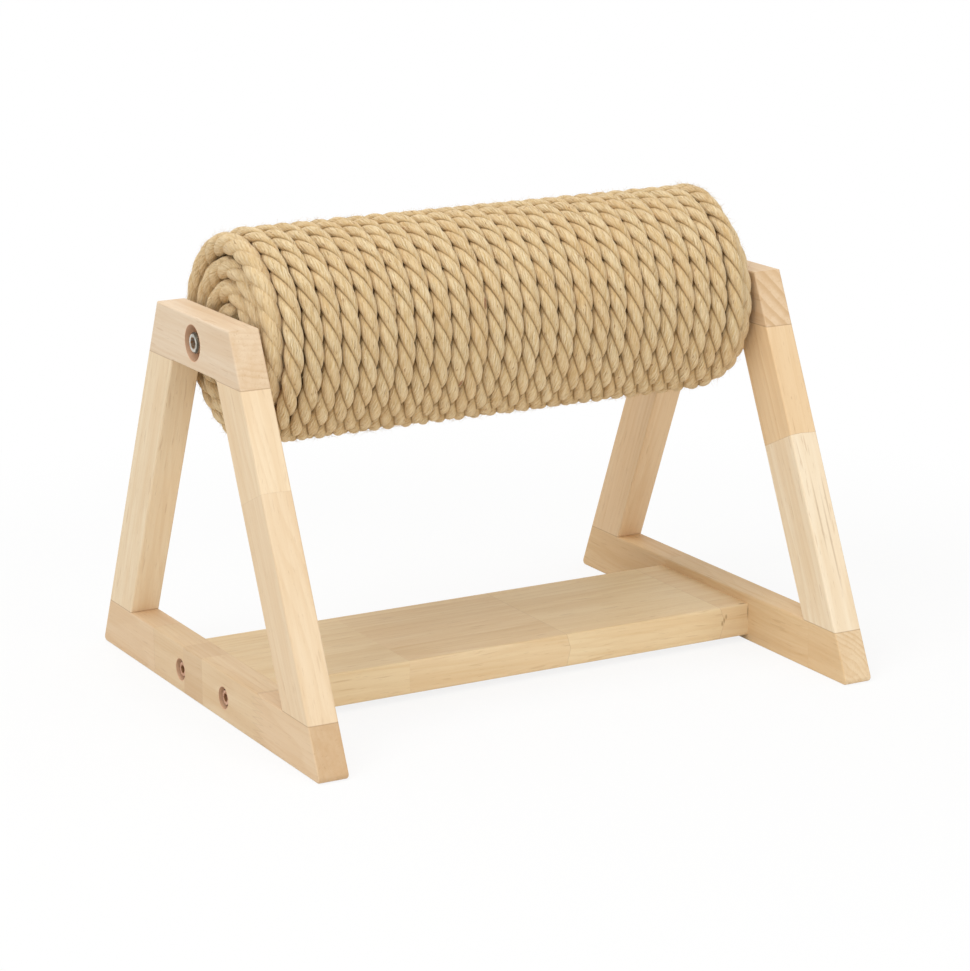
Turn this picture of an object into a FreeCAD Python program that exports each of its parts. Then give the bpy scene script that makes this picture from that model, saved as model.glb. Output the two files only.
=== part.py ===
"""Cat scratching roller: a rope-wound drum that turns between two wooden A-frames.

Millimetres. Origin on the floor under the middle of the stand. +X runs along the drum's axle,
-Y is the front and +Z is up. "left" pieces are on the -X side and "right" pieces on the +X side.
"""
import FreeCAD
import Part
import math
import os

V = FreeCAD.Vector

# ---- stand ----------------------------------------------------------------------------------
frame_span = 470.0        # outer face to outer face of the two A-frames, along X
frame_height = 300.0      # floor to the top of a cap block
foot_length = 402.0       # length of a foot rail at the floor, along Y
end_slope = 0.4515        # how far the ends and legs lean inwards per millimetre of height
timber = 24.0             # thickness of an A-frame, along X
leg_width = 40.0          # width of a leg, square to its length
rail_height = 38.0        # height of a foot rail
cap_height = 40.5         # height of a cap block
edge_round = 1.6          # sanded edges of an A-frame
foot_round = 3.5          # outer bottom corners of a foot rail

# ---- shelf board and its bolts ---------------------------------------------------------------
shelf_width = 132.0       # along Y
shelf_thickness = 26.0
shelf_lift = 5.0          # floor to the underside
shelf_setback = 3.0       # middle of the shelf, behind the middle of the stand
shelf_round = 1.5
shelf_bolt_spacing = 80.0
shelf_bolt_diameter = 8.0
shelf_bolt_length = 50.0
shelf_head_diameter = 13.0
shelf_head_height = 8.0
shelf_key = 6.0           # across the flats of the hexagon socket
shelf_washer_diameter = 16.0
shelf_washer_thickness = 1.6
shelf_counterbore = 17.1  # diameter
shelf_head_depth = 1.8    # outer face of the rail to the top of the bolt head
shelf_insert_diameter = 12.0
shelf_insert_length = 25.0

# ---- dowels in the leg joints ----------------------------------------------------------------
dowel_diameter = 8.0
dowel_length = 28.0
dowel_spacing = 16.0

# ---- drum ------------------------------------------------------------------------------------
core_diameter = 132.0     # outside of the cardboard tube
core_wall = 5.0
core_to_frame = 19.0      # end of the core to the inner face of an A-frame
disc_thickness = 18.0
rope_diameter = 14.5      # as packed on the drum
rope_gap = 0.45           # least gap between neighbouring turns
seat_gap = 0.3            # rope to the core and to the end discs
shoulder_step = 1.15      # turn spacing beside the shoulder, in rope pitches
jog = 0.19                # side step of a turn beside the shoulder, in rope pitches
barrel_step = 1.015       # least turn spacing along the barrel, in rope pitches

# ---- axle at each end ------------------------------------------------------------------------
axle_diameter = 10.0
axle_length = 50.0        # under the head
axle_head_diameter = 16.0
axle_head_height = 10.0
axle_key = 8.0            # across the flats of the hexagon socket
axle_head_depth = 0.4     # outer face of the cap block to the top of the head
axle_counterbore = 27.4   # diameter
axle_washer_diameter = 20.0
axle_washer_thickness = 2.0
sleeve_diameter = 14.0
bush_diameter = 18.0
bush_flange_diameter = 26.0
bush_flange_thickness = 1.5
tee_nut_diameter = 12.5
tee_nut_length = 14.0
tee_flange_diameter = 24.0
tee_flange_thickness = 1.6

# ---- fits --------------------------------------------------------------------------------------
glue_fit = 0.05           # radial room round a piece that is glued, pressed or screwed in
bolt_room = 0.25          # radial room round a bolt that passes through
end_room = 1.0            # spare depth of a hole past the tip of its dowel, nut or bolt
running_fit = 0.05        # radial room of the sleeve in its bush
thrust_gap = 0.3          # washer to the floor of its counterbore
socket_share = 0.55       # depth of a hexagon socket, as a share of its head
head_chamfer = 0.08       # chamfer of a bolt head, as a share of its diameter
shank_chamfer = 0.1       # chamfer of a bolt tip, as a share of its diameter
dowel_chamfer = 0.06      # chamfer of a dowel end, as a share of its diameter

# ---- places that follow ------------------------------------------------------------------------
outer_x = -frame_span / 2                      # outer face of the left A-frame
inner_x = outer_x + timber                     # its inner face
cap_bottom = frame_height - cap_height
axle_z = frame_height - cap_height / 2         # the axle runs through the middle of the caps
lean = math.hypot(1.0, end_slope)
core_radius = core_diameter / 2
core_end = inner_x + core_to_frame             # left end of the core
rope_radius = rope_diameter / 2
rope_pitch = rope_diameter + rope_gap
face_x = core_end - seat_gap - rope_radius     # plane of the rings on the left end disc
barrel_radius = core_radius + seat_gap + rope_radius
step = shoulder_step * rope_pitch              # turn spacing beside the shoulder
side_step = jog * rope_pitch
face_turns = int((barrel_radius - bush_flange_diameter / 2 - rope_radius) / step)
barrel_turns = 1 + int((-face_x - step) / (barrel_step * rope_pitch))
late_step = (-face_x - step) / (barrel_turns - 1)   # turn spacing past the first barrel turn
shelf_bolt_z = shelf_lift + shelf_thickness / 2
shelf_head_x = outer_x + shelf_head_depth
shelf_washer_x = shelf_head_x + shelf_head_height
shelf_floor = shelf_washer_x + shelf_washer_thickness
axle_head_x = outer_x + axle_head_depth
axle_washer_x = axle_head_x + axle_head_height
sleeve_x = axle_washer_x + axle_washer_thickness
axle_floor = sleeve_x + thrust_gap             # bottom of the counterbore



def half_width(z):
    """Half the width of an A-frame's outline at height z."""
    return foot_length / 2 - end_slope * z


def inner_half_width(z):
    """Half the width of the opening between the legs at height z."""
    return half_width(z) - leg_width * lean


def plate(x, depth, corners):
    """A flat plate that starts at x and is depth thick along X. corners are (y, z)."""
    points = [V(x, y, z) for y, z in corners]
    return Part.Face(Part.makePolygon(points + points[:1])).extrude(V(depth, 0, 0))


def rod(x, length, diameter, y=0.0, z=axle_z):
    """A round bar along X that starts at x."""
    return Part.makeCylinder(diameter / 2, length, V(x, y, z), V(1, 0, 0))


def chamfer_end(shape, x, size):
    """Chamfers the round edges that lie at x."""
    edges = [e for e in shape.Edges if e.BoundBox.XLength < 1e-6 and abs(e.BoundBox.XMin - x) < 1e-6]
    return shape.makeChamfer(size, edges)


def trapezoid(z0, z1, width_at):
    """Corners of a symmetrical slice from z0 to z1 whose half width follows width_at(z)."""
    return [(-width_at(z0), z0), (width_at(z0), z0), (width_at(z1), z1), (-width_at(z1), z1)]


# ---- A-frame -----------------------------------------------------------------------------------
def frame_blank():
    """The left A-frame as it is sanded after gluing: outline, opening and rounded edges."""
    blank = plate(outer_x, timber, trapezoid(0, frame_height, half_width))
    feet = [e for e in blank.Edges if e.BoundBox.XLength > timber / 2 and e.BoundBox.ZMax < 1e-6]
    blank = blank.makeFillet(foot_round, feet)
    blank = blank.cut(plate(outer_x, timber, trapezoid(rail_height, cap_bottom, inner_half_width)))
    rims = [e for e in blank.Edges if e.BoundBox.XLength < 1e-6]
    return blank.makeFillet(edge_round, rims)


def dowel_places(z, inset=0.0):
    """(y, z) of the dowels in the leg joints at height z, moved inwards by inset."""
    middle = half_width(z) - leg_width * lean / 2 - inset
    offsets = (middle - dowel_spacing / 2, middle + dowel_spacing / 2)
    return [(side * offset, z) for side in (-1, 1) for offset in offsets]


def dowels(places):
    """Round dowels, each half below and half above its joint."""
    made = []
    for y, z in places:
        x = outer_x + timber / 2
        peg = Part.makeCylinder(dowel_diameter / 2, dowel_length, V(x, y, z - dowel_length / 2), V(0, 0, 1))
        rims = [e for e in peg.Edges if e.BoundBox.ZLength < 1e-6]
        made.append(peg.makeChamfer(dowel_chamfer * dowel_diameter, rims))
    return made


def dowel_holes(places):
    """The holes that the dowels are glued into."""
    radius = dowel_diameter / 2 + glue_fit
    length = dowel_length + 2 * end_room
    x = outer_x + timber / 2
    return [Part.makeCylinder(radius, length, V(x, y, z - length / 2), V(0, 0, 1)) for y, z in places]


def shelf_bolt_places():
    """(y, z) of the shelf bolts."""
    return [(shelf_setback + side * shelf_bolt_spacing / 2, shelf_bolt_z) for side in (-1, 1)]


def make_frame():
    """Splits the sanded A-frame into its rail, two legs and cap, and bores them."""
    blank = frame_blank()
    low = dowel_places(rail_height, end_slope * dowel_length / 4)
    high = dowel_places(cap_bottom)
    holes = dowel_holes(low + high)
    for y, z in shelf_bolt_places():
        holes.append(rod(outer_x, shelf_floor - outer_x, shelf_counterbore, y, z))
        holes.append(rod(outer_x, timber, shelf_bolt_diameter + 2 * bolt_room, y, z))
    holes.append(rod(outer_x, axle_floor - outer_x, axle_counterbore))
    holes.append(rod(outer_x, timber, bush_diameter + 2 * glue_fit))
    bored = blank.cut(holes)
    half = half_width(0)

    def piece(z0, z1, y0, y1):
        return bored.common(Part.makeBox(timber, y1 - y0, z1 - z0, V(outer_x, y0, z0)))

    return {
        "foot_rail": piece(0, rail_height, -half, half),
        "front_leg": piece(rail_height, cap_bottom, -half, 0),
        "back_leg": piece(rail_height, cap_bottom, 0, half),
        "cap_block": piece(cap_bottom, frame_height, -half, half),
        "foot_dowels": Part.makeCompound(dowels(low)),
        "cap_dowels": Part.makeCompound(dowels(high)),
    }


# ---- bolts ---------------------------------------------------------------------------------------
def socket_bolt(x, diameter, length, head_diameter, head_height, key, y=0.0, z=axle_z):
    """A hexagon socket bolt that points along +X, with the top of its head at x."""
    head = chamfer_end(rod(x, head_height, head_diameter, y, z), x, head_chamfer * head_diameter)
    tip = x + head_height + length
    shank = chamfer_end(rod(x + head_height, length, diameter, y, z), tip, shank_chamfer * diameter)
    corner_radius = key / math.sqrt(3.0)
    angles = [k * math.pi / 3 for k in range(6)]
    corners = [(y + corner_radius * math.cos(a), z + corner_radius * math.sin(a)) for a in angles]
    return head.fuse(shank).removeSplitter().cut(plate(x, socket_share * head_height, corners))


def mirrored(shape):
    """The same piece on the right side."""
    return shape.mirror(V(0, 0, 0), V(1, 0, 0))


def make_shelf():
    """The shelf board, bored at both ends for its bolts and screw-in nuts."""
    board = Part.makeBox(-2 * inner_x, shelf_width, shelf_thickness,
                         V(inner_x, shelf_setback - shelf_width / 2, shelf_lift))
    long_edges = [e for e in board.Edges if e.BoundBox.XLength > timber and e.BoundBox.YLength < 1e-6]
    board = board.makeFillet(shelf_round, long_edges)
    nut_bore = shelf_insert_diameter + 2 * glue_fit
    bolt_bore = shelf_bolt_diameter + 2 * bolt_room
    tip = shelf_washer_x + shelf_bolt_length
    holes = []
    for y, z in shelf_bolt_places():
        holes.append(rod(inner_x, shelf_insert_length + end_room, nut_bore, y, z))
        holes.append(rod(inner_x, tip + end_room - inner_x, bolt_bore, y, z))
    return board.cut(holes + [mirrored(h) for h in holes])


def make_shelf_fixings():
    """The bolts, washers and screw-in nuts at the left end of the shelf."""
    bolts, washers, inserts = [], [], []
    for y, z in shelf_bolt_places():
        bolts.append(socket_bolt(shelf_head_x, shelf_bolt_diameter, shelf_bolt_length,
                                 shelf_head_diameter, shelf_head_height, shelf_key, y, z))
        washer = rod(shelf_washer_x, shelf_washer_thickness, shelf_washer_diameter, y, z)
        hole = rod(shelf_washer_x, timber, shelf_bolt_diameter + 2 * bolt_room, y, z)
        washers.append(washer.cut(hole))
        insert = rod(inner_x, shelf_insert_length, shelf_insert_diameter, y, z)
        thread = rod(inner_x, shelf_insert_length, shelf_bolt_diameter + 2 * glue_fit, y, z)
        inserts.append(insert.cut(thread))
    return {
        "shelf_bolts": Part.makeCompound(bolts),
        "shelf_washers": Part.makeCompound(washers),
        "shelf_inserts": Part.makeCompound(inserts),
    }


# ---- axle and drum core --------------------------------------------------------------------------
def make_axle():
    """The left axle, the bush that it runs in and the end disc that it screws into."""
    clear = rod(outer_x, frame_span / 2, axle_diameter + 2 * bolt_room)
    washer = rod(axle_washer_x, axle_washer_thickness, axle_washer_diameter)
    sleeve = rod(sleeve_x, core_end - sleeve_x, sleeve_diameter)
    bush = rod(axle_floor, inner_x - axle_floor, bush_diameter)
    bush = bush.fuse(rod(inner_x, bush_flange_thickness, bush_flange_diameter)).removeSplitter()
    inside = core_end + disc_thickness
    barrel_x = inside - tee_nut_length
    tee_nut = rod(barrel_x, tee_nut_length, tee_nut_diameter)
    tee_nut = tee_nut.fuse(rod(inside, tee_flange_thickness, tee_flange_diameter)).removeSplitter()
    disc = rod(core_end, disc_thickness, core_diameter - 2 * core_wall - 2 * glue_fit)
    nut_bore = rod(barrel_x, tee_nut_length, tee_nut_diameter + 2 * glue_fit)
    return {
        "axle_bolt": socket_bolt(axle_head_x, axle_diameter, axle_length, axle_head_diameter,
                                 axle_head_height, axle_key),
        "axle_washer": washer.cut(clear),
        "axle_sleeve": sleeve.cut(clear),
        "cap_bush": bush.cut(rod(outer_x, frame_span / 2, sleeve_diameter + 2 * running_fit)),
        "tee_nut": tee_nut.cut(rod(outer_x, frame_span / 2, axle_diameter + 2 * glue_fit)),
        "end_disc": disc.cut([clear, nut_bore]),
    }


def make_core():
    """The cardboard tube that the rope is glued round."""
    length = -2 * core_end
    return rod(core_end, length, core_diameter).cut(rod(core_end, length, core_diameter - 2 * core_wall))


# ---- rope ------------------------------------------------------------------------------------------
def swing(turns, fade):
    """How far the rope runs ahead of a steady advance: a swell each turn, gone after fade turns."""
    return side_step * (1 - turns / fade) * (1 - math.cos(2 * math.pi * turns)) / 2


def rope_point(turns):
    """A point of the left rope's centreline, so many turns on: rings first, then the barrel."""
    left = face_turns - turns
    if left > 0:
        radius = barrel_radius - step * left - swing(left, face_turns)
        x = face_x
    else:
        radius = barrel_radius
        along = step * min(-left, 1) + late_step * max(-left - 1, 0)
        x = face_x + along + swing(-left, barrel_turns)
    angle = -2 * math.pi * turns                     # a left-handed winding
    return V(x, radius * math.cos(angle), axle_z + radius * math.sin(angle))


def rope_heading(turns):
    """Unit direction of the centreline."""
    delta = 1e-3
    return (rope_point(turns + delta) - rope_point(turns - delta)).normalize()


def arc_from(start, heading, end):
    """The arc that leaves start along heading and reaches end."""
    chord = end - start
    along = V(chord).normalize()
    bend = heading.getAngle(along)
    if bend < 1e-7:
        return Part.makeLine(start, end)
    side = (heading - along * heading.dot(along)).normalize()
    middle = start + chord * 0.5 + side * (chord.Length / 2 * math.tan(bend / 2))
    return Part.Arc(start, middle, end).toShape()


def biarc(start, heading, end, end_heading):
    """Two arcs that join start to end with the given headings and one shared tangent between them."""
    gap = end - start
    total = heading + end_heading
    spread = 2 * (1 - heading.dot(end_heading))
    reach = (math.sqrt(gap.dot(total) ** 2 + spread * gap.dot(gap)) - gap.dot(total)) / spread
    first = start + heading * reach
    last = end - end_heading * reach
    middle = (first + last) * 0.5
    joint_heading = (last - first).normalize()
    return [arc_from(start, heading, middle), arc_from(middle, joint_heading, end)]


def rope_line():
    """Edges of the left rope's centreline, from its free end by the hub to the join at the back."""
    first_radius = barrel_radius - step * face_turns
    reach = math.sqrt(first_radius ** 2 - rope_radius ** 2)
    free_end = V(face_x, reach, axle_z + rope_radius)
    stations = [(V(face_x, reach, axle_z - rope_radius), V(0, 0, -1))]
    quarters = 4 * (face_turns + barrel_turns)
    for k in range(1, quarters):
        stations.append((rope_point(k / 4), rope_heading(k / 4)))
    join = V(0, barrel_radius, axle_z)
    join_heading = V(late_step, 0, -2 * math.pi * barrel_radius).normalize()
    last = join - join_heading * rope_diameter
    stations.append((last, join_heading))
    edges = [Part.makeLine(free_end, stations[0][0])]
    for (start, heading), (end, end_heading) in zip(stations, stations[1:]):
        edges += biarc(start, heading, end, end_heading)
    edges.append(Part.makeLine(last, join))
    return edges


def least_gap(line, length):
    """Least distance between stretches of the rope that lie next to each other, less one diameter."""
    count = int(length / 2.0)
    points = line.discretize(count)
    spacing = length / (count - 1)
    skip = int(2.5 * rope_diameter / spacing)
    reach = int(2 * math.pi * barrel_radius * 1.3 / spacing)
    least = length
    for k, point in enumerate(points):
        for other in points[k + skip:k + reach]:
            least = min(least, point.distanceToPoint(other))
    return least - rope_diameter


def make_rope():
    """The left length of rope: rings on the end disc, the shoulder, then half of the barrel."""
    edges = rope_line()
    line = Part.Wire(edges)
    start = edges[0].valueAt(edges[0].FirstParameter)
    heading = edges[0].tangentAt(edges[0].FirstParameter)
    section = Part.Wire(Part.makeCircle(rope_radius, start, heading))
    tube = line.makePipeShell([section], True, False)
    length = sum(e.Length for e in edges)
    wanted = math.pi * rope_radius ** 2 * length
    tightest = min(e.Curve.Radius for e in edges if hasattr(e.Curve, "Radius"))
    print("rope: %d rings, %d barrel turns, spacing %.2f" % (face_turns, barrel_turns, late_step))
    print("rope: length %.1f, volume / section x length %.4f" % (length, tube.Volume / wanted))
    print("rope: tightest radius %.1f, least gap to itself %.2f" % (tightest, least_gap(line, length)))
    return tube


# ---- the whole part --------------------------------------------------------------------------------
def main():
    """Builds every piece, mirrors the paired ones and writes one file for each."""
    finished = {"shelf_board": make_shelf(), "core_tube": make_core()}
    for name, shape in {**make_frame(), **make_shelf_fixings(), **make_axle()}.items():
        finished["left_" + name] = shape
        finished["right_" + name] = mirrored(shape)
    rope = make_rope()
    other = rope.copy()
    other.rotate(V(0, 0, axle_z), V(0, 1, 0), 180)   # a turn about Y keeps the rope's hand
    finished["left_rope"] = rope
    finished["right_rope"] = other
    os.makedirs("parts", exist_ok=True)
    for name, shape in finished.items():
        shape.exportStep("parts/" + name + ".step")
        print("%-20s solids %d valid %s" % (name, len(shape.Solids), shape.isValid()))


main()
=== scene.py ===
"""Looks of a cat scratching roller: a rope-wound drum that turns between two wooden A-frames.

Metres. Origin on the floor under the middle of the stand. +X runs along the axle, -Y is the front
and +Z is up. The timbers, bolts and bushes are the frame's own nodes, each with its finish. The
rope is laid here, strand by strand, in place of the frame's plain winding.
"""
import logging
import math
from dataclasses import dataclass, field
from enum import Enum
from typing import ClassVar, Dict, List, Sequence, Tuple, Union

import bpy
import numpy as np
from mathutils import Matrix, Vector


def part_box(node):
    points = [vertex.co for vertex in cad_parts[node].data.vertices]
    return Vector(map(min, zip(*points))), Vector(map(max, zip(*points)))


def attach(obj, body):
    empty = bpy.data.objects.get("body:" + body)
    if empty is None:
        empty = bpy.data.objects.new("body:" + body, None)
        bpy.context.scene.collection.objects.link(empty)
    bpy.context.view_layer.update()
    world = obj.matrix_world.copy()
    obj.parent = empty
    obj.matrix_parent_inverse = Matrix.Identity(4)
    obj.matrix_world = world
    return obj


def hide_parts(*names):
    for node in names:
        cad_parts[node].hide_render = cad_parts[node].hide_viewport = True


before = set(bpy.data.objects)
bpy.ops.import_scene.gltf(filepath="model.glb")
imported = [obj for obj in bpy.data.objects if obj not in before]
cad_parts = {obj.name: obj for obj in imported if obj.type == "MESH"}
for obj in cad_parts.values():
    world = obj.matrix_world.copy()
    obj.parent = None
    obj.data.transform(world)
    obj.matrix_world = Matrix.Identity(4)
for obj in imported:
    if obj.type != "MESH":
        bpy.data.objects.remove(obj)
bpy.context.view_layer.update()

log = logging.getLogger("roller")

Colour = Tuple[float, float, float]
Triple = Tuple[float, float, float]
Value = Union[float, Triple, bpy.types.NodeSocket]
Swings = Tuple[Tuple[float, float], ...]

WHITE: Colour = (1.0, 1.0, 1.0)


def tone(red: float, green: float, blue: float) -> Colour:
    """Returns a colour as it looks on a screen, from 0 to 255, as shares of light from 0 to 1."""
    shares = [part / 255 for part in (red, green, blue)]
    return tuple(s / 12.92 if s <= 0.04045 else ((s + 0.055) / 1.055) ** 2.4 for s in shares)


def unit(x: float, y: float, z: float) -> Triple:
    """Returns the direction (x, y, z) at unit length."""
    return tuple(Vector((x, y, z)).normalized())


# ---- finishes --------------------------------------------------------------------------------------
class Nodes:
    """Builds a tree of shader nodes, one value at a time."""

    def __init__(self, tree: bpy.types.NodeTree) -> None:
        """Takes the tree to build in."""
        self.tree = tree

    def feed(self, socket: bpy.types.NodeSocket, value: Value) -> None:
        """Links or sets one input.

        Args:
            socket: The input.
            value: A number, three numbers, or another node's output.
        """
        if isinstance(value, bpy.types.NodeSocket):
            self.tree.links.new(value, socket)
        elif isinstance(value, tuple) and socket.type == "RGBA":
            socket.default_value = (*value, 1.0)
        else:
            socket.default_value = value

    def node(self, kind: str, *values: Value, **choices: str) -> bpy.types.Node:
        """Adds one node.

        Args:
            kind: Its type, less the word ShaderNode.
            *values: Its first inputs, in order.
            **choices: Its settings, such as a Math node's operation.

        Returns:
            The node.
        """
        node = self.tree.nodes.new("ShaderNode" + kind)
        for name, choice in choices.items():
            setattr(node, name, choice)
        for socket, value in zip(node.inputs, values):
            self.feed(socket, value)
        return node

    def math(self, operation: str, *values: Value) -> bpy.types.NodeSocket:
        """Returns the number that a Math node makes of its inputs."""
        return self.node("Math", *values, operation=operation).outputs[0]

    def vector(self, operation: str, *values: Value) -> bpy.types.NodeSocket:
        """Returns the vector that a Vector Math node makes of its inputs, or the one number."""
        node = self.node("VectorMath", *values, operation=operation)
        return node.outputs["Value" if operation in ("DOT_PRODUCT", "LENGTH") else "Vector"]

    def join(self, x: Value, y: Value, z: Value) -> bpy.types.NodeSocket:
        """Returns the vector whose parts are x, y and z."""
        return self.node("CombineXYZ", x, y, z).outputs[0]

    def parts(self, vector: Value) -> Sequence[bpy.types.NodeSocket]:
        """Returns the three parts of a vector."""
        return self.node("SeparateXYZ", vector).outputs[:3]

    def fade(self, value: Value, start: float, end: float, low: float = 0.0,
             high: float = 1.0) -> bpy.types.NodeSocket:
        """Returns a level that passes smoothly from low, at start, to high, at end."""
        node = self.node("MapRange", value, start, end, low, high, interpolation_type="SMOOTHSTEP")
        return node.outputs[0]

    def noise(self, where: Value, scale: float = 1.0, detail: float = 2.0,
              roughness: float = 0.5) -> bpy.types.NodeSocket:
        """Cloudy noise from about 0.2 to 0.8.

        Args:
            where: The point that it is read at.
            scale: Clouds per unit.
            detail: How many finer layers lie on the first.
            roughness: How strong the finer layers are.

        Returns:
            The noise as one number.
        """
        node = self.node("TexNoise", where)
        for name, number in (("Scale", scale), ("Detail", detail), ("Roughness", roughness)):
            node.inputs[name].default_value = number
        return node.outputs[0]

    def chance(self, value: Value) -> bpy.types.NodeSocket:
        """Three random numbers from 0 to 1.

        Args:
            value: The number that they depend on.

        Returns:
            Them as a vector.
        """
        node = self.node("TexWhiteNoise", noise_dimensions="1D")
        self.feed(node.inputs["W"], value)
        return node.outputs["Color"]

    def blend(self, share: Value, first: Value, second: Value,
              way: str = "MIX") -> bpy.types.NodeSocket:
        """Mixes two colours.

        Args:
            share: How much of the second one.
            first: The first colour.
            second: The second colour.
            way: A Mix node's blend type.

        Returns:
            The mixed colour.
        """
        node = self.node("Mix", data_type="RGBA", blend_type=way)
        inputs = {socket.identifier: socket for socket in node.inputs}
        for name, value in (("Factor_Float", share), ("A_Color", first), ("B_Color", second)):
            self.feed(inputs[name], value)
        return next(socket for socket in node.outputs if socket.identifier == "Result_Color")

    def coats(self, colour: Value, *layers: Tuple[Value, Value]) -> Value:
        """Lays colours over a first one.

        Args:
            colour: The first colour.
            *layers: How much of each colour, and the colour.

        Returns:
            The last colour.
        """
        for share, layer in layers:
            colour = self.blend(share, colour, layer)
        return colour

    def seen(self) -> bpy.types.NodeSocket:
        """Whether a ray comes from the camera: straight, off a shiny surface or through a clear one.

        Returns:
            1 if it does, 0 if not.
        """
        rays = self.node("LightPath").outputs
        direct = self.math("MAXIMUM", rays["Is Camera Ray"], rays["Is Glossy Ray"])
        return self.math("MAXIMUM", direct, rays["Is Transmission Ray"])


class Shader(Nodes):
    """One material, built node by node."""

    def __init__(self, name: str) -> None:
        """Starts an empty material that holds one shader.

        Args:
            name: The material's name.
        """
        self.material = bpy.data.materials.new(name)
        self.material.use_nodes = True
        super().__init__(self.material.node_tree)
        self.tree.nodes.clear()
        self.bsdf = self.node("BsdfPrincipled")
        self.surface = self.node("OutputMaterial", self.bsdf.outputs[0]).inputs["Surface"]
        self.place = self.node("TexCoord").outputs["Object"]

    def settle(self, **values: Value) -> None:
        """Sets the shader's own inputs, whose names are given with _ for each space."""
        for name, value in values.items():
            self.feed(self.bsdf.inputs[name.replace("_", " ")], value)

    def from_axis(self, y: float, z: float) -> bpy.types.NodeSocket:
        """Returns the distance from the line along X through (y, z)."""
        away = self.vector("SUBTRACT", self.place, (0.0, y, z))
        return self.vector("LENGTH", self.vector("MULTIPLY", away, (0.0, 1.0, 1.0)))

    def bump(self, *layers: Tuple[Value, float, float]) -> bpy.types.NodeSocket:
        """Roughens the surface, each layer on the one before.

        Args:
            *layers: A height from 0 to 1, the metres that a height of 1 stands for, and the share to use.

        Returns:
            The bent normal.
        """
        normal = None
        for height, distance, strength in layers:
            node = self.node("Bump")
            node.inputs["Strength"].default_value = strength
            node.inputs["Distance"].default_value = distance
            self.feed(node.inputs["Height"], height)
            if normal is not None:
                self.feed(node.inputs["Normal"], normal)
            normal = node.outputs[0]
        return normal


@dataclass(frozen=True)
class Pattern:
    """Cloudy noise that is drawn out along a timber's grain or along a yarn.

    Attributes:
        often: Clouds per unit in each direction.
        start: Where it is read from, so that two patterns differ.
        detail: How many finer layers lie on the first.
        roughness: How strong the finer layers are.
    """

    often: Triple
    start: Triple = (0.0, 0.0, 0.0)
    detail: float = 1.0
    roughness: float = 0.5

    def at(self, shader: Shader, place: Value) -> bpy.types.NodeSocket:
        """Returns the noise at a place."""
        where = shader.vector("MULTIPLY_ADD", place, self.often, self.start)
        return shader.noise(where, 1.0, self.detail, self.roughness)


@dataclass(frozen=True)
class FingerJoint:
    """A glued finger joint across a timber.

    Attributes:
        at: Place of its middle along the timber.
        reach: How far its fingers swing to either side.
        pitch: Distance from finger to finger.
        stain: How dark its glue line is, from 0 to 1.
    """

    at: float
    reach: float = 0.0006
    pitch: float = 0.004
    stain: float = 0.25


@dataclass(frozen=True)
class Bore:
    """A counterbore in a timber, round the X direction.

    Attributes:
        y: Place of its middle.
        z: Height of its middle.
        radius: Its radius.
        wall: Colour of its cut wall.
    """

    y: float
    z: float
    radius: float
    wall: Colour = tone(226, 184, 150)


@dataclass(frozen=True)
class FlawOrShade:
    """A small dark split or knot in a timber, or painted shade where it meets another timber.

    Attributes:
        place: Its middle.
        reach: How far it goes from there along X, Y and Z.
        strength: How dark it is, from 0 to 1.
    """

    place: Triple
    reach: Triple
    strength: float = 0.7


# how a timber's grain and colour vary, from the widest to the finest
SWAY = Pattern((5.0, 26.0, 26.0), detail=2.0)
CLOUD = Pattern((9.0, 22.0, 22.0))
FLUSH = Pattern((7.0, 48.0, 48.0), (5.0, 0.0, 0.0), 2.0)
STREAK = Pattern((3.2, 120.0, 120.0), detail=2.0, roughness=0.55)
FIBRE = Pattern((9.0, 620.0, 620.0), detail=3.0, roughness=0.6)
PORE = Pattern((95.0, 1500.0, 1500.0))
DASH = Pattern((34.0, 420.0, 420.0), (2.0, 0.0, 0.0))


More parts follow.
